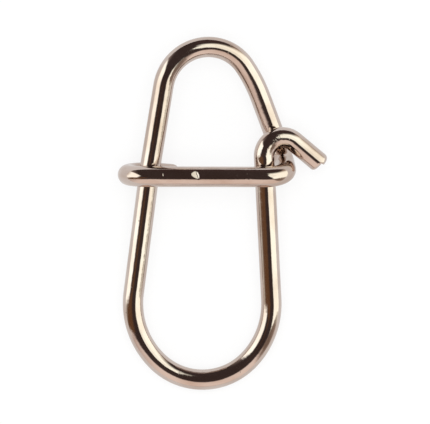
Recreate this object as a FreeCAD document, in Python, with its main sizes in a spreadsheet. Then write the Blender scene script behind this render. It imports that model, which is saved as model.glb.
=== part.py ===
import FreeCAD, Part
import math
import os

# A lure snap bent from one length of round spring wire.
#
# The wire runs, from its sheared tail: the hook, the limb that stands behind the cross band, the large
# lure loop, the left leg, the small line loop, the riser that comes forward at the right, the cross band,
# and the U-turn that takes the band round the left leg to the short return behind it.
#
# The bends are worked out in a flat frame. Its origin is on the left leg where the band crosses it, +X runs
# along the band to the hook side, +Y up to the line loop and +Z forward. The lure loop lies in its XY plane.
# The finished snap is then laid down as it comes to rest on a table, on three points of its back.

doc = FreeCAD.newDocument("lure_snap")

# Driving dimensions, in millimetres and degrees
DIMENSIONS = [
    ("wire_diameter", 1.2, "round spring wire"),
    ("crossing_clearance", 0.03, "air between two runs of wire that cross"),
    ("limb_gap", 0.06, "more air beside the limb, where the riser passes it"),
    ("lower_left_lean", 7.32, "left leg below the band, from upright"),
    ("lower_left_leg", 7.01, "straight left leg below the band"),
    ("lower_flank_radius", 4.79, "sides of the lure loop"),
    ("lower_left_turn", 52.8, "bend of the left side of the lure loop"),
    ("lower_nose_radius", 3.75, "bottom of the lure loop"),
    ("lower_nose_turn", 91.1, "bend of the bottom of the lure loop"),
    ("lower_right_lean", 3.02, "right leg, from upright"),
    ("lower_right_leg", 8.4, "straight right leg, up to the hook"),
    ("hook_inner_radius", 0.48, "inside of the hook's bend"),
    ("hook_turn", 133.0, "how far the hook folds over"),
    ("hook_back", 10.0, "how far the hook is turned back out of the flat plane"),
    ("tail_length", 2.19, "straight tail after the hook"),
    ("tail_round_share", 0.467, "rounding of the tail's end, as a share of the wire's radius"),
    ("shear_length", 0.15, "how far the last sliver of the sheared tail stands proud"),
    ("shear_share", 0.53, "share of the tail's thickness that the step takes away"),
    ("waist_radius", 12.0, "slight bend of the left leg at the band"),
    ("upper_left_lean", 9.2, "left leg above the band, from upright"),
    ("upper_left_leg", 4.89, "left leg above the band"),
    ("crown_radius", 2.65, "top of the line loop"),
    ("crown_turn", 136.8, "bend of the top of the line loop"),
    ("shoulder_radius", 9.1, "right shoulder of the line loop"),
    ("shoulder_turn", 13.2, "bend of the right shoulder"),
    ("riser_height", 0.73, "height above the band at which the right leg turns forward"),
    ("riser_inner_radius", 0.6, "inside of the two bends of the riser"),
    ("return_slant", 4.5, "how far the return turns down from the band's direction"),
    ("return_slant_radius", 3.0, "slight bend of the return behind the left leg"),
    ("return_length", 1.56, "straight end of the return"),
    ("return_round_share", 0.833, "rounding of the return's end, as a share of the wire's radius"),
    ("nick_place", 2.7, "nick in the band, from the left leg"),
    ("nick_depth", 0.05, "depth of the nick"),
    ("nick_tool_radius", 0.35, "roundness of the jaw that made the nick"),
    ("nick_slant", 19.0, "slant of the nick across the wire"),
    ("nick_rise", 19.0, "how far round the band, from its front, the nick lies"),
]

sheet = doc.addObject("Spreadsheet::Sheet", "sizes")
for row, (alias, value, note) in enumerate(DIMENSIONS, start=1):
    sheet.set("A%d" % row, alias)
    sheet.set("B%d" % row, str(value))
    sheet.set("C%d" % row, note)
    sheet.setAlias("B%d" % row, alias)
doc.recompute()


def size(alias):
    """Value of one driving dimension."""
    return float(sheet.get(alias))


ORIGIN = FreeCAD.Vector(0, 0, 0)
RIGHT = FreeCAD.Vector(1, 0, 0)
UP = FreeCAD.Vector(0, 1, 0)
FRONT = FreeCAD.Vector(0, 0, 1)
HALF_TURN = 180.0

WIRE_RADIUS = size("wire_diameter") / 2
TAIL_ROUND = size("tail_round_share") * WIRE_RADIUS
RETURN_ROUND = size("return_round_share") * WIRE_RADIUS

# How far the line loop may lean back in the search for its lean, and how fine the search is, in degrees
MOST_LEAN = 30.0
LEAN_STEP = 0.01

# Points sampled along a run of wire, and rounds, in the search for what the snap rests on
REST_SAMPLES = 400
REST_ROUNDS = 6

# Two runs that cross lie this far apart, centre to centre
CROSSING = size("wire_diameter") + size("crossing_clearance")


def turned(vector, axis, degrees):
    """The vector turned about an axis."""
    return FreeCAD.Rotation(axis, degrees).multVec(vector)


class Bender:
    """Lays a centreline as a wire bender does: feed a straight length, then bend about an axis."""

    def __init__(self, point, heading):
        self.point = FreeCAD.Vector(point)
        self.heading = FreeCAD.Vector(heading).normalize()
        self.edges = []

    def feed(self, length):
        end = self.point + self.heading * length
        self.edges.append(Part.LineSegment(self.point, end).toShape())
        self.point = end

    def bend(self, radius, turn, axis):
        arm = axis.cross(self.heading).normalize() * radius
        centre = self.point + arm
        middle = centre - turned(arm, axis, turn / 2)
        end = centre - turned(arm, axis, turn)
        self.edges.append(Part.Arc(self.point, middle, end).toShape())
        self.point = end
        self.heading = turned(self.heading, axis, turn)

    def round_corner(self, corner, target, radius):
        """Feed towards the corner and bend there to head for the target."""
        onward = (target - corner).normalize()
        turn = self.heading.getAngle(onward)
        axis = self.heading.cross(onward)
        self.feed((corner - self.point).Length - radius * math.tan(turn / 2))
        self.bend(radius, math.degrees(turn), axis)


# Lure loop, limb and hook, from the left leg down
down_the_left_leg = turned(-UP, FRONT, -size("lower_left_lean"))
lower = Bender(ORIGIN, down_the_left_leg)
lower.feed(size("lower_left_leg"))
lower.bend(size("lower_flank_radius"), size("lower_left_turn"), FRONT)
lower.bend(size("lower_nose_radius"), size("lower_nose_turn"), FRONT)
whole_turn = HALF_TURN + size("lower_left_lean") + size("lower_right_lean")
lower_right_turn = whole_turn - size("lower_left_turn") - size("lower_nose_turn")
lower.bend(size("lower_flank_radius"), lower_right_turn, FRONT)
lower.feed(size("lower_right_leg"))
limb_at_band = lower.point - lower.heading * (lower.point.y / lower.heading.y)

hook_radius = size("hook_inner_radius") + WIRE_RADIUS
hook_outward = turned(lower.heading.cross(FRONT), lower.heading, size("hook_back"))
hook_axis = lower.heading.cross(hook_outward)
lower.bend(hook_radius, size("hook_turn"), hook_axis)
lower.feed(size("tail_length"))
hook = Part.Wire(lower.edges[-2:])

# Line loop, riser, band and return, from the left leg up
band_right = FreeCAD.Vector(limb_at_band.x + CROSSING + size("limb_gap"), 0, CROSSING)
band_left = FreeCAD.Vector(0, 0, CROSSING)
riser_radius = size("riser_inner_radius") + WIRE_RADIUS


def line_loop(lean_back):
    """The line loop and its riser, with the loop leaning back about the left leg."""
    run = Bender(ORIGIN, -down_the_left_leg)
    run.bend(size("waist_radius"), size("upper_left_lean") - size("lower_left_lean"), -FRONT)
    across = turned(run.heading.cross(FRONT), run.heading, lean_back)
    facing = run.heading.cross(across)
    run.feed(size("upper_left_leg"))
    run.bend(size("crown_radius"), size("crown_turn"), facing)
    run.bend(size("shoulder_radius"), size("shoulder_turn"), facing)
    loop_edges = len(run.edges)
    to_riser = (size("riser_height") - run.point.y) / run.heading.y
    run.round_corner(run.point + run.heading * to_riser, band_right, riser_radius)
    run.round_corner(band_right, band_left, riser_radius)
    return run, Part.Wire(run.edges[loop_edges:])


def least_lean_behind_the_hook():
    """The least lean, in degrees, at which the right leg and the riser pass behind the hook."""
    too_little = 0.0
    enough = MOST_LEAN
    while enough - too_little > LEAN_STEP:
        middle = (too_little + enough) / 2
        gap = line_loop(middle)[1].distToShape(hook)[0]
        if gap < CROSSING:
            too_little = middle
        else:
            enough = middle
    return enough


upper, riser = line_loop(least_lean_behind_the_hook())
upper.feed((band_left - upper.point).Length)
upper.bend(CROSSING, HALF_TURN, -UP)
upper.bend(size("return_slant_radius"), size("return_slant"), -FRONT)
full_thickness = Bender(upper.point, upper.heading)
full_thickness.feed(size("return_length") - RETURN_ROUND)
return_run = Part.Wire(upper.edges[-2:] + full_thickness.edges)
upper.feed(size("return_length"))

# The wire: its section swept along the centreline, from the tail to the return
centreline = doc.addObject("Part::Feature", "centreline")
centreline.Shape = Part.Wire(lower.edges[::-1] + upper.edges)

section = doc.addObject("Part::Circle", "section")
section.setExpression("Radius", "sizes.wire_diameter / 2")
section.Placement = FreeCAD.Placement(lower.point, FreeCAD.Rotation(FRONT, lower.heading))

swept_wire = doc.addObject("Part::Sweep", "swept_wire")
swept_wire.Sections = [section]
swept_wire.Spine = (centreline, ["Edge%d" % number for number in range(1, len(centreline.Shape.Edges) + 1)])
swept_wire.Solid = True

doc.recompute()


def round_end(shape, point, rounding):
    """What a fillet needs to round the cut end at a point: the edge's number and its radius, twice."""
    for number, edge in enumerate(shape.Edges, start=1):
        if edge.isClosed() and (edge.CenterOfMass - point).Length < WIRE_RADIUS / 2:
            return (number, rounding, rounding)
    raise RuntimeError("no cut end to round")


rounded_wire = doc.addObject("Part::Fillet", "rounded_wire")
rounded_wire.Base = swept_wire
rounded_wire.Edges = [
    round_end(swept_wire.Shape, lower.point, TAIL_ROUND),
    round_end(swept_wire.Shape, upper.point, RETURN_ROUND),
]

# Sheared end: a block on the inner side of the tail takes part of the thickness off a little earlier
inner_side = hook_axis.cross(lower.heading)
shear_line = lower.point + inner_side * (WIRE_RADIUS - size("shear_share") * size("wire_diameter"))
shear = doc.addObject("Part::Box", "shear")
shear.setExpression("Length", "sizes.wire_diameter")
shear.setExpression("Width", "2 * sizes.wire_diameter")
shear.setExpression("Height", "2 * sizes.shear_length")
shear.Placement = FreeCAD.Placement(
    shear_line - lower.heading * size("shear_length") - hook_axis * size("wire_diameter"),
    FreeCAD.Rotation(inner_side, hook_axis, lower.heading, "ZXY"),
)

# Nick that a jaw left in the front of the band
nick = doc.addObject("Part::Cylinder", "nick")
nick.setExpression("Radius", "sizes.nick_tool_radius")
nick.setExpression("Height", "2 * sizes.wire_diameter")
nick_outward = turned(FRONT, RIGHT, -size("nick_rise"))
nick_axis = turned(nick_outward.cross(RIGHT), nick_outward, size("nick_slant"))
nick_height = WIRE_RADIUS + size("nick_tool_radius") - size("nick_depth")
nick_middle = band_left + RIGHT * size("nick_place") + nick_outward * nick_height
nick.Placement = FreeCAD.Placement(
    nick_middle - nick_axis * size("wire_diameter"), FreeCAD.Rotation(FRONT, nick_axis)
)

cutters = doc.addObject("Part::MultiFuse", "cutters")
cutters.Shapes = [shear, nick]

snap_wire = doc.addObject("Part::Cut", "snap_wire")
snap_wire.Label = "snap_wire"
snap_wire.Base = rounded_wire
snap_wire.Tool = cutters
doc.recompute()


def lowest(run, upward):
    """The point of a run of wire that lies lowest."""
    return min(run.discretize(Number=REST_SAMPLES), key=upward.dot)


# Rest: on the bottom of the lure loop, the return behind the left leg and the back of the riser
lure_loop = Part.Wire(lower.edges[:-2])
upward = FRONT
for _ in range(REST_ROUNDS):
    nose_foot = lowest(lure_loop, upward)
    return_foot = lowest(return_run, upward)
    riser_foot = lowest(riser, upward)
    upward = (nose_foot - return_foot).cross(riser_foot - return_foot).normalize()

# Laid down, the snap has its origin under the middle of its outline, on the table
laid = snap_wire.Shape.copy()
laid.Placement = FreeCAD.Placement(ORIGIN, FreeCAD.Rotation(upward, FRONT))
outline = laid.optimalBoundingBox()
snap_wire.Placement = FreeCAD.Placement(
    FreeCAD.Vector(-outline.Center.x, -outline.Center.y, -outline.ZMin), laid.Placement.Rotation
)
doc.recompute()

# Every object of the document has to be sound before the solid is written
for item in doc.Objects:
    if "Invalid" in item.State or "Error" in item.State:
        raise RuntimeError(item.Name + " failed")
if snap_wire.Shape.isNull() or not snap_wire.Shape.isValid() or len(snap_wire.Shape.Solids) != 1:
    raise RuntimeError("snap_wire is not one sound solid")

os.makedirs("parts", exist_ok=True)
snap_wire.Shape.exportStep("parts/" + snap_wire.Label + ".step")
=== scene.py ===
"""Dresses the lure snap: one bent spring wire, nickel plated, on a white table under soft studio light."""

import logging
import math
from dataclasses import dataclass, field
from enum import Enum

import bmesh
import bpy
from mathutils import Matrix, Vector
from mathutils.bvhtree import BVHTree

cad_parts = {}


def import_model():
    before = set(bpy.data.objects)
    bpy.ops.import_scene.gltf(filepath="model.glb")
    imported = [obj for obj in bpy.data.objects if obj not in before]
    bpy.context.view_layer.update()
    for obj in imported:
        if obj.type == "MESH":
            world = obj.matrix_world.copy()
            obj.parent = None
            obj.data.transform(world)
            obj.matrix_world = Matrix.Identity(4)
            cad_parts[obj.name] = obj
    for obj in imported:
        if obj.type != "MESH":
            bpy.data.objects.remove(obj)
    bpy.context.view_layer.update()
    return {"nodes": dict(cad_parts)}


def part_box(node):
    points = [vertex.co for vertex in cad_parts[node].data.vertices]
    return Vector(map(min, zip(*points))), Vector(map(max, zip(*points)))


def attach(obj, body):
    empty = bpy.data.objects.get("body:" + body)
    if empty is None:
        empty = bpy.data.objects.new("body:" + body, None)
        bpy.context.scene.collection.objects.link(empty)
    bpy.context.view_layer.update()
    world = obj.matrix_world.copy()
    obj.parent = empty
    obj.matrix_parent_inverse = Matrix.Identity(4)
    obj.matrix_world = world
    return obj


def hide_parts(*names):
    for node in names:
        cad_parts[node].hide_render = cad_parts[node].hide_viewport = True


log = logging.getLogger("lure_snap")

MM = 0.001

UP = Vector((0, 1, 0))
FRONT = Vector((0, 0, 1))
ORIGIN = Vector((0, 0, 0))

# Vertex attributes: the place on the straight wire in millimetres, and how much of the bare cut steel shows.
STRAIGHT = "straight"
CUT_FACE = "cut_face"


def linear(code: str) -> tuple[float, float, float, float]:
    """Turns an sRGB colour into the linear values that a shader takes.

    Args:
        code: the colour as a hex code, such as "C8B8AE".

    Returns:
        Linear red, green and blue, and an alpha of 1.
    """
    channels = []
    for start in (0, 2, 4):
        value = int(code[start:start + 2], 16) / 255
        channels.append(value / 12.92 if value <= 0.04045 else ((value + 0.055) / 1.055) ** 2.4)
    return (*channels, 1.0)


def add_node(
    tree: bpy.types.NodeTree, kind: str, settings: dict | None = None, links: dict | None = None
) -> bpy.types.Node:
    """Adds one node to a tree.

    Args:
        tree: the node tree.
        kind: the node's type, such as "ShaderNodeBump".
        settings: the value of each attribute (by name) and of each input (by name or number).
        links: the output socket that feeds each input (by name or number).

    Returns:
        The node.
    """
    node = tree.nodes.new(kind)
    for name, value in (settings or {}).items():
        if isinstance(name, str) and hasattr(node, name):
            setattr(node, name, value)
        else:
            node.inputs[name].default_value = value
    for name, socket in (links or {}).items():
        tree.links.new(socket, node.inputs[name])
    return node


def new_material(name: str) -> tuple[bpy.types.Material, bpy.types.NodeTree, bpy.types.Node]:
    """Makes an empty node material.

    Args:
        name: the material's name.

    Returns:
        The material, its tree and its output node.
    """
    material = bpy.data.materials.new(name)
    material.use_nodes = True
    tree = material.node_tree
    tree.nodes.clear()
    return material, tree, tree.nodes.new("ShaderNodeOutputMaterial")


def new_object(name: str, mesh: bmesh.types.BMesh, material: bpy.types.Material) -> bpy.types.Object:
    """Makes an object at the origin from a finished mesh and frees the mesh.

    Args:
        name: the object's name.
        mesh: its mesh, in metres.
        material: its material.

    Returns:
        The object, which is in the scene.
    """
    data = bpy.data.meshes.new(name)
    mesh.to_mesh(data)
    mesh.free()
    data.materials.append(material)
    made = bpy.data.objects.new(name, data)
    bpy.context.scene.collection.objects.link(made)
    return made


def turned(vector: Vector, axis: Vector, degrees: float) -> Vector:
    """Turns a vector about an axis."""
    return Matrix.Rotation(math.radians(degrees), 3, axis) @ vector


@dataclass(frozen=True)
class WireSizes:
    """Driving sizes of the bent wire, as the part's source has them, in millimetres and degrees."""

    wire_diameter: float = 1.2
    crossing_clearance: float = 0.03
    limb_gap: float = 0.06
    lower_left_lean: float = 7.32
    lower_left_leg: float = 7.01
    lower_flank_radius: float = 4.79
    lower_left_turn: float = 52.8
    lower_nose_radius: float = 3.75
    lower_nose_turn: float = 91.1
    lower_right_lean: float = 3.02
    lower_right_leg: float = 8.4
    hook_inner_radius: float = 0.48
    hook_turn: float = 133.0
    hook_back: float = 10.0
    tail_length: float = 2.19
    tail_round: float = 0.28
    shear_length: float = 0.15
    shear_share: float = 0.53
    waist_radius: float = 12.0
    upper_left_lean: float = 9.2
    upper_left_leg: float = 4.89
    crown_radius: float = 2.65
    crown_turn: float = 136.8
    shoulder_radius: float = 9.1
    shoulder_turn: float = 13.2
    riser_height: float = 0.73
    riser_inner_radius: float = 0.6
    return_slant: float = 4.5
    return_slant_radius: float = 3.0
    return_length: float = 1.56
    return_round: float = 0.5
    line_loop_lean: float = 11.228

    @property
    def radius(self) -> float:
        """Radius of the wire."""
        return self.wire_diameter / 2

    @property
    def crossing(self) -> float:
        """Distance between two runs that cross, centre to centre."""
        return self.wire_diameter + self.crossing_clearance


@dataclass
class WireSkin:
    """The wire's skin, grown ring by ring as a bender feeds and bends it, in millimetres.

    Each vertex also keeps its place on the straight wire, so that the finish can follow the wire round its
    bends.
    """

    radius: float
    point: Vector
    heading: Vector
    sides: int = 96
    bend_step: float = 2.5
    feed_step: float = 1.0
    mesh: bmesh.types.BMesh = field(default_factory=bmesh.new)

    def __post_init__(self) -> None:
        """Starts with one open ring across the heading."""
        self.straight = self.mesh.verts.layers.float_vector.new(STRAIGHT)
        self.cut_face = self.mesh.verts.layers.float.new(CUT_FACE)
        made = bmesh.ops.create_circle(self.mesh, cap_ends=False, radius=self.radius, segments=self.sides)
        for vertex in made["verts"]:
            vertex[self.straight] = vertex.co.copy()
        facing = FRONT.rotation_difference(self.heading).to_matrix().to_4x4()
        bmesh.ops.transform(self.mesh, matrix=Matrix.Translation(self.point) @ facing, verts=made["verts"])
        self.first_ring = list(self.mesh.edges)
        self.first_place = (self.point.copy(), self.heading.copy())
        self.ring = self.first_ring
        self.ring_radius = self.radius
        self.direction = 1

    def turn_back(self) -> None:
        """Goes back to the first ring, to grow the wire the other way."""
        self.point = self.first_place[0].copy()
        self.heading = -self.first_place[1]
        self.ring = self.first_ring
        self.ring_radius = self.radius
        self.direction = -1

    def grow(self, step: float) -> list[bmesh.types.BMVert]:
        """Extrudes the last ring in place.

        Args:
            step: how much wire the new ring stands for.

        Returns:
            The new ring's vertices.
        """
        made = bmesh.ops.extrude_edge_only(self.mesh, edges=self.ring)["geom"]
        vertices = [item for item in made if isinstance(item, bmesh.types.BMVert)]
        self.ring = [item for item in made if isinstance(item, bmesh.types.BMEdge)]
        for vertex in vertices:
            vertex[self.straight] = vertex[self.straight] + FRONT * (self.direction * step)
        return vertices

    def feed(self, length: float, step: float | None = None) -> list[bmesh.types.BMVert]:
        """Feeds a straight run of wire.

        Args:
            length: the length of the run.
            step: the most wire between two rings, or the usual step.

        Returns:
            The vertices of the run's new rings.
        """
        rings = max(1, math.ceil(length / (step or self.feed_step)))
        vertices = []
        for _ in range(rings):
            grown = self.grow(length / rings)
            bmesh.ops.translate(self.mesh, vec=self.heading * (length / rings), verts=grown)
            vertices += grown
        self.point = self.point + self.heading * length
        return vertices

    def bend(self, radius: float, turn: float, axis: Vector) -> None:
        """Bends the wire about an axis.

        Args:
            radius: the bend's radius at the wire's centre.
            turn: the bend's angle in degrees.
            axis: the direction about which it turns.
        """
        arm = axis.cross(self.heading).normalized() * radius
        centre = self.point + arm
        rings = max(1, math.ceil(turn / self.bend_step))
        step = math.radians(turn) / rings
        for _ in range(rings):
            grown = self.grow(radius * step)
            bmesh.ops.rotate(self.mesh, cent=centre, matrix=Matrix.Rotation(step, 3, axis), verts=grown)
        self.point = centre - turned(arm, axis, turn)
        self.heading = turned(self.heading, axis, turn)

    def round_corner(self, corner: Vector, target: Vector, radius: float) -> None:
        """Feeds towards a corner and bends there to head for the target.

        Args:
            corner: where the two straight runs would meet.
            target: what the wire heads for after the bend.
            radius: the bend's radius at the wire's centre.
        """
        onward = (target - corner).normalized()
        turn = self.heading.angle(onward)
        self.feed((corner - self.point).length - radius * math.tan(turn / 2))
        self.bend(radius, math.degrees(turn), self.heading.cross(onward).normalized())

    def close_end(
        self, rounding: float, round_steps: int = 8, face_rings: int = 14
    ) -> list[bmesh.types.BMVert]:
        """Rounds the edge of a cut end and closes its face with rings down to the middle.

        Args:
            rounding: the radius of the rounded edge.
            round_steps: rings in the rounded edge.
            face_rings: rings in the flat face.

        Returns:
            The vertices of the rounded edge and of the face.
        """
        vertices = []
        for number in range(1, round_steps + 1):
            angle = math.pi / 2 * number / round_steps
            level = self.point + self.heading * (rounding * math.sin(angle))
            vertices += self.narrow(level, self.radius - rounding * (1 - math.cos(angle)))
        self.point = self.point + self.heading * rounding
        edge_radius = self.ring_radius
        for number in range(1, face_rings):
            ring = self.narrow(self.point, edge_radius * (1 - number / face_rings))
            for vertex in ring:
                vertex[self.cut_face] = 1.0
            vertices += ring
        bmesh.ops.edgeloop_fill(self.mesh, edges=self.ring)
        return vertices

    def narrow(self, centre: Vector, radius: float) -> list[bmesh.types.BMVert]:
        """Extrudes the last ring to a given centre and radius.

        Args:
            centre: the new ring's centre.
            radius: the new ring's radius.

        Returns:
            The new ring's vertices.
        """
        ring = self.grow(0.0)
        middle = sum((vertex.co for vertex in ring), Vector()) / len(ring)
        share = radius / self.ring_radius
        bmesh.ops.scale(self.mesh, vec=(share, share, share), space=Matrix.Translation(-middle), verts=ring)
        bmesh.ops.translate(self.mesh, vec=centre - middle, verts=ring)
        along = (centre - middle).dot(self.heading) * self.direction
        for vertex in ring:
            before = vertex[self.straight]
            vertex[self.straight] = Vector((before.x * share, before.y * share, before.z + along))
        self.ring_radius = radius
        return ring


@dataclass(frozen=True)
class RubbedPlace:
    """A round place where the plating is rubbed, in millimetres in the laid snap's frame."""

    middle: tuple[float, float]
    reach: float

    @property
    def core(self) -> float:
        """Radius of its fully rubbed middle."""
        return self.reach / 3


@dataclass(frozen=True)
class BrightNickel:
    """Nickel plated on drawn spring wire and tumbled bright, with sizes in millimetres.

    To the eye it is mirror-like and warm. Soft boxes stretch along the wire, broken a little by draw lines
    and by the plating's ripple. There are a few pits and scratches, a browner cast where the plating is thin,
    and a broken shine where the snap rubs. A range is the noise's levels between which its mark fades in.
    """

    plating: str = "D0C1B8"
    thin_plating: str = "B79F90"
    cut_steel: str = "B4ADA8"
    pit_colour: str = "4A3B34"
    roughness: float = 0.045
    dull_roughness: float = 0.1
    cut_roughness: float = 0.34
    draw_line_spacing: float = 0.16
    draw_line_length: float = 5.0
    draw_line_depth: float = 0.0022
    ripple_spacing: float = 0.45
    ripple_depth: float = 0.006
    patches_across: float = 1.1
    patch_length: float = 2.4
    thin_range: tuple[float, float] = (0.42, 0.72)
    thin_share: float = 0.75
    dull_range: tuple[float, float] = (0.3, 0.75)
    pit_spacing: float = 0.9
    pit_radius: float = 0.035
    pit_floor: float = 0.4
    pit_depth: float = 0.02
    scratch_scale: float = 0.35
    scratch_fineness: float = 12.0
    scratch_length: float = 2.2
    scratch_turn: tuple[float, float, float] = (0.35, 0.5, 0.2)
    scratch_range: tuple[float, float] = (0.74, 0.8)
    rubbed_places: tuple[RubbedPlace, ...] = (
        RubbedPlace((3.2, 4.5), 0.8),
        RubbedPlace((2.45, 3.6), 0.7),
        RubbedPlace((1.5, 2.2), 0.5),
    )
    rub_spacing: float = 0.13
    rub_depth: float = 0.009

    def material(self) -> bpy.types.Material:
        """Builds the finish's nodes.

        Returns:
            The material.
        """
        material, tree, output = new_material("bright_nickel_on_drawn_spring_wire")
        place, face = (
            add_node(tree, "ShaderNodeAttribute", {"attribute_type": "GEOMETRY", "attribute_name": name})
            for name in (STRAIGHT, CUT_FACE)
        )
        straight = place.outputs["Vector"]
        cut = face.outputs["Fac"]
        patches = self.patches(tree, straight)
        pits = self.pits(tree, straight)
        shader = add_node(
            tree, "ShaderNodeBsdfPrincipled", {"Metallic": 1.0},
            {
                "Base Color": self.colour(tree, patches, pits, cut),
                "Roughness": self.gloss(tree, straight, patches, cut),
                "Normal": self.relief(tree, straight, pits),
            },
        )
        tree.links.new(shader.outputs[0], output.inputs["Surface"])
        return material

    def patches(self, tree: bpy.types.NodeTree, straight: bpy.types.NodeSocket) -> bpy.types.NodeSocket:
        """Makes long soft patches, which the plating's thickness and gloss follow.

        Args:
            tree: the material's tree.
            straight: the place on the straight wire.

        Returns:
            The patches, from 0 to 1.
        """
        scale = (self.patches_across, self.patches_across, 1 / self.patch_length)
        place = add_node(tree, "ShaderNodeMapping", {"Scale": scale}, {"Vector": straight})
        noise = {"Scale": 1.0, "Detail": 4.0, "Roughness": 0.55}
        return add_node(tree, "ShaderNodeTexNoise", noise, {"Vector": place.outputs[0]}).outputs["Fac"]

    def pits(self, tree: bpy.types.NodeTree, straight: bpy.types.NodeSocket) -> bpy.types.NodeSocket:
        """Scatters small pits.

        Args:
            tree: the material's tree.
            straight: the place on the straight wire.

        Returns:
            1 in a pit and 0 outside it.
        """
        cells = add_node(tree, "ShaderNodeTexVoronoi", {"Scale": 1 / self.pit_spacing}, {"Vector": straight})
        rim = self.pit_radius / self.pit_spacing
        edge = {"interpolation_type": "SMOOTHSTEP", 1: rim * self.pit_floor, 2: rim, 3: 1.0, 4: 0.0}
        return add_node(tree, "ShaderNodeMapRange", edge, {0: cells.outputs["Distance"]}).outputs[0]

    def colour(
        self, tree: bpy.types.NodeTree, patches: bpy.types.NodeSocket, pits: bpy.types.NodeSocket,
        cut: bpy.types.NodeSocket,
    ) -> bpy.types.NodeSocket:
        """Colours the plating, and the bare steel where it is cut or pitted.

        Args:
            tree: the material's tree.
            patches: the plating's patches.
            pits: where the pits are.
            cut: where the wire is cut.

        Returns:
            The colour.
        """
        start, end = self.thin_range
        thin = add_node(tree, "ShaderNodeMapRange", {1: start, 2: end, 4: self.thin_share}, {0: patches})
        plating = {"data_type": "RGBA", 6: linear(self.plating), 7: linear(self.thin_plating)}
        mixed = add_node(tree, "ShaderNodeMix", plating, {0: thin.outputs[0]}).outputs[2]
        for share, code in ((cut, self.cut_steel), (pits, self.pit_colour)):
            steel = {"data_type": "RGBA", 7: linear(code)}
            mixed = add_node(tree, "ShaderNodeMix", steel, {0: share, 6: mixed}).outputs[2]
        return mixed

    def gloss(
        self, tree: bpy.types.NodeTree, straight: bpy.types.NodeSocket, patches: bpy.types.NodeSocket,
        cut: bpy.types.NodeSocket,
    ) -> bpy.types.NodeSocket:
        """Sets the roughness: bright plating, duller patches, and dull scratches and cuts.

        Args:
            tree: the material's tree.
            straight: the place on the straight wire.
            patches: the plating's patches.
            cut: where the wire is cut.

        Returns:
            The roughness.
        """
        scale = (1 / self.scratch_length, self.scratch_fineness, self.scratch_fineness)
        slanted = {"Rotation": self.scratch_turn, "Scale": scale}
        place = add_node(tree, "ShaderNodeMapping", slanted, {"Vector": straight})
        noise = {"Scale": self.scratch_scale, "Detail": 1.0}
        lines = add_node(tree, "ShaderNodeTexNoise", noise, {"Vector": place.outputs[0]})
        start, end = self.scratch_range
        edge = {"interpolation_type": "SMOOTHSTEP", 1: start, 2: end}
        scratches = add_node(tree, "ShaderNodeMapRange", edge, {0: lines.outputs["Fac"]})
        start, end = self.dull_range
        plating = {1: start, 2: end, 3: self.roughness, 4: self.dull_roughness}
        roughness = add_node(tree, "ShaderNodeMapRange", plating, {0: patches}).outputs[0]
        for share in (cut, scratches.outputs[0]):
            links = {0: share, 2: roughness}
            roughness = add_node(tree, "ShaderNodeMix", {3: self.cut_roughness}, links).outputs[0]
        return roughness

    def relief(
        self, tree: bpy.types.NodeTree, straight: bpy.types.NodeSocket, pits: bpy.types.NodeSocket
    ) -> bpy.types.NodeSocket:
        """Stacks the surface's small heights: ripple, draw lines, pits and rubbed places.

        Args:
            tree: the material's tree.
            straight: the place on the straight wire.
            pits: where the pits are.

        Returns:
            The normal.
        """
        wave = {"Scale": 1 / self.ripple_spacing, "Detail": 2.0, "Roughness": 0.45}
        ripple = add_node(tree, "ShaderNodeTexNoise", wave, {"Vector": straight}).outputs["Fac"]
        scale = (1 / self.draw_line_spacing, 1 / self.draw_line_spacing, 1 / self.draw_line_length)
        place = add_node(tree, "ShaderNodeMapping", {"Scale": scale}, {"Vector": straight})
        noise = {"Scale": 1.0, "Detail": 3.0, "Roughness": 0.6}
        draw_lines = add_node(tree, "ShaderNodeTexNoise", noise, {"Vector": place.outputs[0]}).outputs["Fac"]
        bump = add_node(tree, "ShaderNodeBump", {"Distance": self.ripple_depth * MM}, {"Height": ripple})
        for height, depth, sunk in (
            (draw_lines, self.draw_line_depth, False),
            (pits, self.pit_depth, True),
            (self.rubbing(tree, straight), self.rub_depth, False),
        ):
            links = {"Height": height, "Normal": bump.outputs[0]}
            bump = add_node(tree, "ShaderNodeBump", {"Distance": depth * MM, "invert": sunk}, links)
        return bump.outputs[0]

    def rubbing(self, tree: bpy.types.NodeTree, straight: bpy.types.NodeSocket) -> bpy.types.NodeSocket:
        """Marks the places that rub when the snap is opened: the hook's top and side, and the band beside it.

        Args:
            tree: the material's tree.
            straight: the place on the straight wire.

        Returns:
            The height of the marks, from 0 to 1.
        """
        place = add_node(tree, "ShaderNodeTexCoord").outputs["Object"]
        from_above = {"Scale": (1 / MM, 1 / MM, 0.0)}
        flat = add_node(tree, "ShaderNodeMapping", from_above, {"Vector": place}).outputs[0]
        rubbed = None
        for spot in self.rubbed_places:
            middle = {"operation": "DISTANCE", 1: (*spot.middle, 0.0)}
            away = add_node(tree, "ShaderNodeVectorMath", middle, {0: flat}).outputs["Value"]
            edge = {"interpolation_type": "SMOOTHSTEP", 1: spot.reach, 2: spot.core}
            near = add_node(tree, "ShaderNodeMapRange", edge, {0: away}).outputs[0]
            if rubbed is not None:
                links = {0: rubbed, 1: near}
                near = add_node(tree, "ShaderNodeMath", {"operation": "MAXIMUM"}, links).outputs[0]
            rubbed = near
        noise = {"Scale": 1 / self.rub_spacing, "Detail": 2.0}
        marks = add_node(tree, "ShaderNodeTexNoise", noise, {"Vector": straight}).outputs["Fac"]
        return add_node(tree, "ShaderNodeMath", {"operation": "MULTIPLY"}, {0: marks, 1: rubbed}).outputs[0]


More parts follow.
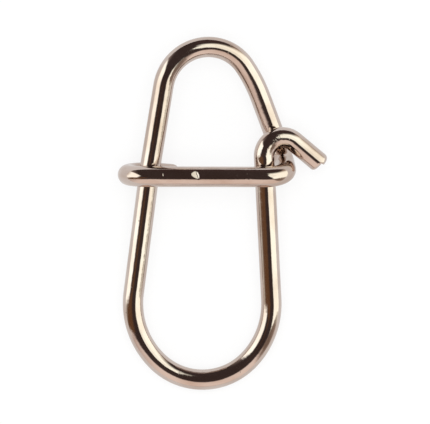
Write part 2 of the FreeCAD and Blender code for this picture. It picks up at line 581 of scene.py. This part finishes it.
@dataclass(frozen=True)
class Nick:
    """One nick in the band: a notch with two walls, in millimetres in the laid snap's frame.

    Each wall is the direction that it faces. The dullness is how much of the bare steel shows in it, from 0
    to 1.
    """

    place: tuple[float, float]
    depth: float
    left_wall: tuple[float, float, float]
    right_wall: tuple[float, float, float]
    dullness: float
    reach: float = 0.7
    ray_height: float = 100.0

    def press(self, mesh: bmesh.types.BMesh) -> int:
        """Moves the skin inside the notch down to the notch's walls.

        Args:
            mesh: the laid wire's mesh.

        Returns:
            How many vertices moved.
        """
        cut_face = mesh.verts.layers.float[CUT_FACE]
        high_above = Vector((*self.place, self.ray_height))
        surface, outward, _, _ = BVHTree.FromBMesh(mesh).ray_cast(high_above, -FRONT)
        bottom = surface - outward * self.depth
        walls = [Vector(self.left_wall).normalized(), Vector(self.right_wall).normalized()]
        moved = 0
        for vertex in mesh.verts:
            if (vertex.co - bottom).length > self.reach:
                continue
            heights = [(vertex.co - bottom).dot(wall) / wall.dot(outward) for wall in walls]
            if min(heights) > 0:
                vertex.co = vertex.co - outward * min(heights)
                vertex[cut_face] = self.dullness
                moved += 1
        return moved


@dataclass
class SnapWire:
    """The snap's one piece: the bent wire, from its sheared tail to the return behind the left leg.

    Lengths are in millimetres. Upward is the table's upright in the frame in which the wire is bent.
    """

    sizes: WireSizes = WireSizes()
    finish: BrightNickel = BrightNickel()
    nicks: tuple[Nick, ...] = (
        Nick((-1.47, 2.3), 0.061, (0.17, 0.24, 0.955), (-0.55, -0.03, 0.83), 0.3),
        Nick((-3.424, 2.31), 0.014, (0.4, 0.2, 0.9), (-0.5, 0.1, 0.86), 0.2),
    )
    upward: tuple[float, float, float] = (0.005102, 0.103019, 0.994666)
    fine_step: float = 0.03
    shear_slope: float = 0.06
    band_before_nicks: float = 3.2
    band_with_nicks: float = 3.5

    def build(self, frame_node: str) -> bpy.types.Object:
        """Builds the wire and lays it where the frame's node lies.

        Args:
            frame_node: the frame's node that it replaces.

        Returns:
            The dressed wire.
        """
        down = turned(-UP, FRONT, -self.sizes.lower_left_lean)
        skin = WireSkin(self.sizes.radius, ORIGIN.copy(), down)
        limb = self.bend_lure_loop(skin)
        self.bend_hook(skin)
        skin.turn_back()
        self.bend_line_loop(skin, limb)
        self.bend_return(skin)
        self.lay_down(skin.mesh, frame_node)
        for nick in self.nicks:
            log.info("nick at %s: %d vertices pressed", nick.place, nick.press(skin.mesh))
        return self.finish_piece(skin.mesh, frame_node)

    def bend_lure_loop(self, skin: WireSkin) -> Vector:
        """Bends the lure loop from the left leg down and up to the hook.

        Args:
            skin: the wire so far.

        Returns:
            Where the limb's centre passes the band.
        """
        sizes = self.sizes
        skin.feed(sizes.lower_left_leg)
        skin.bend(sizes.lower_flank_radius, sizes.lower_left_turn, FRONT)
        skin.bend(sizes.lower_nose_radius, sizes.lower_nose_turn, FRONT)
        whole_turn = 180 + sizes.lower_left_lean + sizes.lower_right_lean
        skin.bend(sizes.lower_flank_radius, whole_turn - sizes.lower_left_turn - sizes.lower_nose_turn, FRONT)
        skin.feed(sizes.lower_right_leg)
        return skin.point - skin.heading * (skin.point.y / skin.heading.y)

    def bend_hook(self, skin: WireSkin) -> None:
        """Folds the hook over at the limb's end and shears the tail.

        Args:
            skin: the wire so far.
        """
        sizes = self.sizes
        outward = turned(skin.heading.cross(FRONT), skin.heading, sizes.hook_back)
        axis = skin.heading.cross(outward).normalized()
        skin.bend(sizes.hook_inner_radius + sizes.radius, sizes.hook_turn, axis)
        near_end = 2 * sizes.wire_diameter / 3
        skin.feed(sizes.tail_length - near_end)
        tip = skin.feed(near_end - sizes.tail_round, self.fine_step)
        tip += skin.close_end(sizes.tail_round)
        self.shear_tail(skin, tip, axis.cross(skin.heading))

    def shear_tail(self, skin: WireSkin, tip: list[bmesh.types.BMVert], inner_side: Vector) -> None:
        """Sets back the inner side of the tail's face, where the shear broke it off.

        Args:
            skin: the wire so far, ending at the tail.
            tip: the vertices near the tail's end.
            inner_side: the direction to the inner side of the hook.
        """
        sizes = self.sizes
        step_at = sizes.radius - sizes.shear_share * sizes.wire_diameter
        reach = 4 * sizes.shear_length
        for vertex in tip:
            inward = (vertex.co - skin.point).dot(inner_side)
            behind = (skin.point - vertex.co).dot(skin.heading)
            share = min(1.0, max(0.0, (inward - step_at) / self.shear_slope + 0.5))
            eased = share * share * (3 - 2 * share)
            give = max(0.0, 1 - behind / reach)
            vertex.co = vertex.co - skin.heading * (sizes.shear_length * eased * give)

    def bend_line_loop(self, skin: WireSkin, limb: Vector) -> None:
        """Bends the line loop from the left leg up, over and down to the riser, and the riser itself.

        Args:
            skin: the wire so far, back at the left leg.
            limb: where the limb's centre passes the band.
        """
        sizes = self.sizes
        band_right = Vector((limb.x + sizes.crossing + sizes.limb_gap, 0, sizes.crossing))
        band_left = Vector((0, 0, sizes.crossing))
        riser_radius = sizes.riser_inner_radius + sizes.radius
        skin.bend(sizes.waist_radius, sizes.upper_left_lean - sizes.lower_left_lean, -FRONT)
        across = turned(skin.heading.cross(FRONT), skin.heading, sizes.line_loop_lean)
        facing = skin.heading.cross(across).normalized()
        skin.feed(sizes.upper_left_leg)
        skin.bend(sizes.crown_radius, sizes.crown_turn, facing)
        skin.bend(sizes.shoulder_radius, sizes.shoulder_turn, facing)
        to_riser = (sizes.riser_height - skin.point.y) / skin.heading.y
        skin.round_corner(skin.point + skin.heading * to_riser, band_right, riser_radius)
        skin.round_corner(band_right, band_left, riser_radius)

    def bend_return(self, skin: WireSkin) -> None:
        """Runs the band to the left leg and turns it round the leg to its square-cut end.

        Args:
            skin: the wire so far, at the riser.
        """
        sizes = self.sizes
        band = (Vector((0, 0, sizes.crossing)) - skin.point).length
        skin.feed(self.band_before_nicks)
        skin.feed(self.band_with_nicks, self.fine_step)
        skin.feed(band - self.band_before_nicks - self.band_with_nicks)
        skin.bend(sizes.crossing, 180, -UP)
        skin.bend(sizes.return_slant_radius, sizes.return_slant, -FRONT)
        skin.feed(sizes.return_length - sizes.return_round)
        skin.close_end(sizes.return_round)

    def lay_down(self, mesh: bmesh.types.BMesh, frame_node: str) -> None:
        """Lays the snap on the table and moves it to the middle of the frame's node.

        Args:
            mesh: the wire's mesh, in the frame in which it is bent.
            frame_node: the frame's node.
        """
        bmesh.ops.recalc_face_normals(mesh, faces=mesh.faces)
        tilt = Vector(self.upward).rotation_difference(FRONT).to_matrix()
        bmesh.ops.rotate(mesh, cent=ORIGIN, matrix=tilt, verts=mesh.verts)
        low = Vector([min(vertex.co[axis] for vertex in mesh.verts) for axis in range(3)])
        high = Vector([max(vertex.co[axis] for vertex in mesh.verts) for axis in range(3)])
        node_low, node_high = (Vector(corner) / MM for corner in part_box(frame_node))
        shift = (node_low + node_high - low - high) / 2
        shift.z = node_low.z - low.z
        bmesh.ops.translate(mesh, vec=shift, verts=mesh.verts)
        log.info("box of the wire %s, of the frame's node %s", high - low, node_high - node_low)

    def finish_piece(self, mesh: bmesh.types.BMesh, frame_node: str) -> bpy.types.Object:
        """Makes the object, in metres, and dresses it.

        Args:
            mesh: the laid wire's mesh, in millimetres.
            frame_node: the frame's node that it replaces.

        Returns:
            The object.
        """
        bmesh.ops.scale(mesh, vec=(MM, MM, MM), verts=mesh.verts)
        for face in mesh.faces:
            face.smooth = True
        piece = new_object("bent_wire", mesh, self.finish.material())
        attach(piece, "root")
        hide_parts(frame_node)
        return piece


class Ray(Enum):
    """Kinds of light ray that the studio tells apart."""

    CAMERA = "Is Camera Ray"
    MIRRORED = "Is Glossy Ray"
    THROUGH_GLASS = "Is Transmission Ray"


def ray_share(tree: bpy.types.NodeTree, rays: tuple[Ray, ...]) -> bpy.types.NodeSocket:
    """Tells some kinds of ray from the rest.

    Args:
        tree: the node tree.
        rays: the kinds of ray.

    Returns:
        A socket that is 1 for those rays and 0 for the rest.
    """
    path = add_node(tree, "ShaderNodeLightPath")
    share = path.outputs[rays[0].value]
    for ray in rays[1:]:
        links = {0: share, 1: path.outputs[ray.value]}
        share = add_node(tree, "ShaderNodeMath", {"operation": "MAXIMUM"}, links).outputs[0]
    return share


@dataclass(frozen=True)
class Card:
    """One curved card or soft box of the studio, which only the metal mirrors.

    It stands where a mirror ball below the camera would show it. Its corners are places on that ball, from -1
    to 1, and run anticlockwise from the lower left, as its fading edges do from the lower one. A fade is the
    share of the card that it takes, and the distance is in metres.
    """

    name: str
    corners: tuple[tuple[float, float], ...]
    fades: tuple[float, float, float, float]
    distance: float
    colour: str
    strength: float = 1.0
    squares: int = 24
    ball_rim: float = 0.96

    def build(self) -> bpy.types.Object:
        """Builds the card.

        Returns:
            The card.
        """
        mesh = bmesh.new()
        mesh.loops.layers.uv.new("card")
        bmesh.ops.create_grid(mesh, x_segments=self.squares, y_segments=self.squares, size=0.5, calc_uvs=True)
        lower_left, lower_right, upper_right, upper_left = (Vector(corner) for corner in self.corners)
        for vertex in mesh.verts:
            across, up = vertex.co.x + 0.5, vertex.co.y + 0.5
            place = lower_left.lerp(lower_right, across).lerp(upper_left.lerp(upper_right, across), up)
            vertex.co = self.mirrored(place) * self.distance
        card = new_object(self.name, mesh, self.material())
        card.visible_camera = False
        card.visible_diffuse = False
        card.visible_shadow = False
        return card

    def mirrored(self, place: Vector) -> Vector:
        """Finds the direction that a mirror ball shows at a place.

        Args:
            place: the place on the ball, as the camera sees it.

        Returns:
            The direction that is mirrored there.
        """
        if place.length > self.ball_rim:
            place = place.normalized() * self.ball_rim
        height = math.sqrt(1 - place.length_squared)
        return Vector((2 * height * place.x, 2 * height * place.y, 2 * height * height - 1))

    def material(self) -> bpy.types.Material:
        """Builds the card's surface, which glows evenly and fades out towards its edges.

        In the metal it gives a soft-edged highlight, or a darker band where the card is dark.

        Returns:
            The material.
        """
        material, tree, output = new_material(self.name + "_surface")
        place = add_node(tree, "ShaderNodeTexCoord").outputs["UV"]
        across, up, _ = add_node(tree, "ShaderNodeSeparateXYZ", None, {0: place}).outputs
        lower, right, upper, left = self.fades
        edges = ((up, 0.0, lower), (across, 1.0, 1.0 - right), (up, 1.0, 1.0 - upper), (across, 0.0, left))
        seen = None
        for socket, start, end in edges:
            ramp = {"interpolation_type": "SMOOTHSTEP", 1: start, 2: end}
            edge = add_node(tree, "ShaderNodeMapRange", ramp, {0: socket}).outputs[0]
            if seen is not None:
                links = {0: seen, 1: edge}
                edge = add_node(tree, "ShaderNodeMath", {"operation": "MULTIPLY"}, links).outputs[0]
            seen = edge
        clear = add_node(tree, "ShaderNodeBsdfTransparent")
        glow = add_node(tree, "ShaderNodeEmission", {"Color": linear(self.colour), "Strength": self.strength})
        links = {0: seen, 1: clear.outputs[0], 2: glow.outputs[0]}
        mixed = add_node(tree, "ShaderNodeMixShader", None, links)
        tree.links.new(mixed.outputs[0], output.inputs["Surface"])
        return material


@dataclass(frozen=True)
class Studio:
    """White table, soft boxes, dark cards and the room round them, as in a product photograph.

    The room's colours are what the metal mirrors where no card stands. Lengths are in metres and the lamp's
    power is in watts.
    """

    cards: tuple[Card, ...] = (
        Card(
            "dark_overhead", ((-0.5, -0.3), (0.36, -0.28), (0.5, 0.74), (-0.62, 0.8)),
            fades=(0.08, 0.1, 0.14, 0.3), distance=0.9, colour="423735",
        ),
        Card(
            "front_card", ((-0.8, -0.7), (0.85, -0.7), (0.75, -0.23), (-0.7, -0.23)),
            fades=(0.22, 0.15, 0.16, 0.36), distance=0.75, colour="F0E2D9", strength=1.21,
        ),
        Card(
            "right_soft_box", ((0.24, -0.23), (0.88, -0.27), (0.8, 0.54), (0.0, 0.36)),
            fades=(0.1, 0.05, 0.28, 0.13), distance=0.6, colour="F8FFF4", strength=1.82,
        ),
        Card(
            "right_soft_box_corner", ((0.18, -0.06), (0.4, 0.0), (0.2, 0.3), (0.065, 0.14)),
            fades=(0.1, 0.1, 0.15, 0.1), distance=0.55, colour="F8FFF4", strength=1.6,
        ),
        Card(
            "left_soft_box", ((-0.95, -0.4), (-0.55, -0.36), (-0.22, 0.06), (-0.58, 0.6)),
            fades=(0.4, 0.2, 0.09, 0.38), distance=0.6, colour="F8FFFA", strength=1.97,
        ),
        Card(
            "left_strip", ((-0.9, -0.36), (-0.32, -0.25), (0.08, -0.06), (-0.93, -0.03)),
            fades=(0.24, 0.19, 0.26, 0.5), distance=0.45, colour="75553B",
        ),
        Card(
            "right_strip", ((0.47, -0.56), (0.8, -0.6), (0.92, -0.07), (0.12, -0.22)),
            fades=(0.57, 0.67, 0.09, 0.2), distance=0.45, colour="8D7D71",
        ),
        Card(
            "dark_corner", ((0.0, 0.4), (0.45, 0.48), (0.33, 0.85), (-0.1, 0.8)),
            fades=(0.25, 0.2, 0.3, 0.15), distance=0.4, colour="4A3B3A",
        ),
    )
    room_front: str = "EEE3DE"
    room_back: str = "6B6262"
    room_left: str = "CBB8B2"
    room_right: str = "DFC7AE"
    room_overhead: str = "6E625C"
    wall_blend: float = 0.3
    table_size: float = 4.0
    table_colour: str = "F3F3F3"
    table_glow: float = 0.8
    mirrored_table: float = 0.83
    ambient: float = 0.81
    lamp_size: float = 0.5
    lamp_height: float = 0.6
    lamp_power: float = 2.0

    def build(self) -> None:
        """Builds the table, its lamp, the cards and the world."""
        self.build_table()
        self.hang_lamp()
        for card in self.cards:
            card.build()
        self.build_world()

    def build_table(self) -> None:
        """Builds the white table, which keeps the snap's faint shadow."""
        mesh = bmesh.new()
        bmesh.ops.create_grid(mesh, x_segments=1, y_segments=1, size=self.table_size / 2)
        new_object("table", mesh, self.table_paper())

    def table_paper(self) -> bpy.types.Material:
        """Builds the table's matt white paper, which looks plain white but for the snap's faint shadow.

        Returns:
            The material.
        """
        material, tree, output = new_material("white_table_paper")
        paper = add_node(tree, "ShaderNodeBsdfDiffuse", {"Color": linear(self.table_colour)})
        mirrored = ray_share(tree, (Ray.MIRRORED,))
        level = add_node(tree, "ShaderNodeMapRange", {3: 1.0, 4: self.mirrored_table}, {0: mirrored})
        glow = add_node(tree, "ShaderNodeEmission", None, {"Strength": level.outputs[0]})
        seen = ray_share(tree, (Ray.CAMERA, Ray.MIRRORED, Ray.THROUGH_GLASS))
        share = add_node(tree, "ShaderNodeMath", {"operation": "MULTIPLY", 1: self.table_glow}, {0: seen})
        links = {0: share.outputs[0], 1: paper.outputs[0], 2: glow.outputs[0]}
        mixed = add_node(tree, "ShaderNodeMixShader", None, links)
        tree.links.new(mixed.outputs[0], output.inputs["Surface"])
        return material

    def hang_lamp(self) -> None:
        """Hangs a large soft lamp over the table, which gives the snap its faint shadow."""
        data = bpy.data.lights.new("overhead_lamp", "AREA")
        data.shape = "SQUARE"
        data.size = self.lamp_size
        data.energy = self.lamp_power
        lamp = bpy.data.objects.new("overhead_lamp", data)
        lamp.location = (0.0, 0.0, self.lamp_height)
        lamp.visible_glossy = False
        lamp.visible_camera = False
        bpy.context.scene.collection.objects.link(lamp)

    def build_world(self) -> None:
        """Builds the world: plain soft light for the table, white for the camera, the room for the metal."""
        world = bpy.data.worlds.new("studio_room")
        bpy.context.scene.world = world
        world.use_nodes = True
        tree = world.node_tree
        tree.nodes.clear()
        room = add_node(tree, "ShaderNodeBackground", None, {"Color": self.room_colour(tree)})
        soft = add_node(tree, "ShaderNodeBackground", {"Color": linear("FFFFFF"), "Strength": self.ambient})
        white = add_node(tree, "ShaderNodeBackground", {"Color": linear("FFFFFF")})
        links = {0: ray_share(tree, (Ray.MIRRORED,)), 1: soft.outputs[0], 2: room.outputs[0]}
        lit = add_node(tree, "ShaderNodeMixShader", None, links)
        seen = ray_share(tree, (Ray.CAMERA, Ray.THROUGH_GLASS))
        links = {0: seen, 1: lit.outputs[0], 2: white.outputs[0]}
        mixed = add_node(tree, "ShaderNodeMixShader", None, links)
        output = add_node(tree, "ShaderNodeOutputWorld")
        tree.links.new(mixed.outputs[0], output.inputs["Surface"])

    def room_colour(self, tree: bpy.types.NodeTree) -> bpy.types.NodeSocket:
        """Colours the room by direction: four walls, and what is overhead.

        Args:
            tree: the world's tree.

        Returns:
            The room's colour.
        """
        direction = add_node(tree, "ShaderNodeTexCoord").outputs["Generated"]
        x, y, z = add_node(tree, "ShaderNodeSeparateXYZ", None, {0: direction}).outputs
        sideways, steep = (
            add_node(tree, "ShaderNodeMath", {"operation": "MULTIPLY"}, {0: along, 1: along}).outputs[0]
            for along in (x, z)
        )
        ends = self.blend_walls(tree, y, self.room_front, self.room_back)
        sides = self.blend_walls(tree, x, self.room_left, self.room_right)
        links = {0: sideways, 6: ends, 7: sides}
        walls = add_node(tree, "ShaderNodeMix", {"data_type": "RGBA"}, links).outputs[2]
        overhead = {"data_type": "RGBA", 7: linear(self.room_overhead)}
        return add_node(tree, "ShaderNodeMix", overhead, {0: steep, 6: walls}).outputs[2]

    def blend_walls(
        self, tree: bpy.types.NodeTree, along: bpy.types.NodeSocket, first: str, second: str
    ) -> bpy.types.NodeSocket:
        """Blends two opposite walls of the room.

        Args:
            tree: the world's tree.
            along: the direction from the first wall to the second, from -1 to 1.
            first: the first wall's colour.
            second: the second wall's colour.

        Returns:
            The blended colour.
        """
        ramp = {"interpolation_type": "SMOOTHSTEP", 1: -self.wall_blend, 2: self.wall_blend}
        share = add_node(tree, "ShaderNodeMapRange", ramp, {0: along})
        walls = {"data_type": "RGBA", 6: linear(first), 7: linear(second)}
        return add_node(tree, "ShaderNodeMix", walls, {0: share.outputs[0]}).outputs[2]


@dataclass(frozen=True)
class ProductCamera:
    """A long lens straight above the snap, which lies a little turned in the picture.

    Lengths are in metres, the sensor's width in millimetres and the turn in degrees.
    """

    aim: tuple[float, float] = (-0.424 * MM, 0.093 * MM)
    focus_height: float = 1.0 * MM
    distance: float = 0.5
    view_width: float = 25.15 * MM
    turn: float = 0.12
    sensor_width: float = 36.0

    def build(self) -> bpy.types.Object:
        """Places the camera.

        Returns:
            The camera.
        """
        data = bpy.data.cameras.new("product_camera")
        data.sensor_width = self.sensor_width
        data.lens = self.sensor_width * self.distance / self.view_width
        camera = bpy.data.objects.new("product_camera", data)
        camera.location = (*self.aim, self.focus_height + self.distance)
        camera.rotation_euler = (0, 0, math.radians(self.turn))
        bpy.context.scene.collection.objects.link(camera)
        bpy.context.scene.camera = camera
        return camera


def corners(bounds: tuple[Vector, Vector]) -> list[list[float]]:
    """Turns a box into plain lists."""
    return [list(corner) for corner in bounds]


def main() -> None:
    """Builds the snap, then the studio round it."""
    logging.basicConfig(level=logging.INFO, format="%(message)s")
    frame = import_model()
    for node in frame["nodes"]:
        piece = SnapWire().build(node)
        log.info("%s: %d faces, in place of %s", piece.name, len(piece.data.polygons), node)
    Studio().build()
    camera = ProductCamera().build()
    height = camera.location.z / MM
    log.info("%s: %.0f mm lens, %.0f mm above the table", camera.name, camera.data.lens, height)
    bpy.context.scene.view_settings.view_transform = "Standard"


if __name__ == "__main__":
    main()
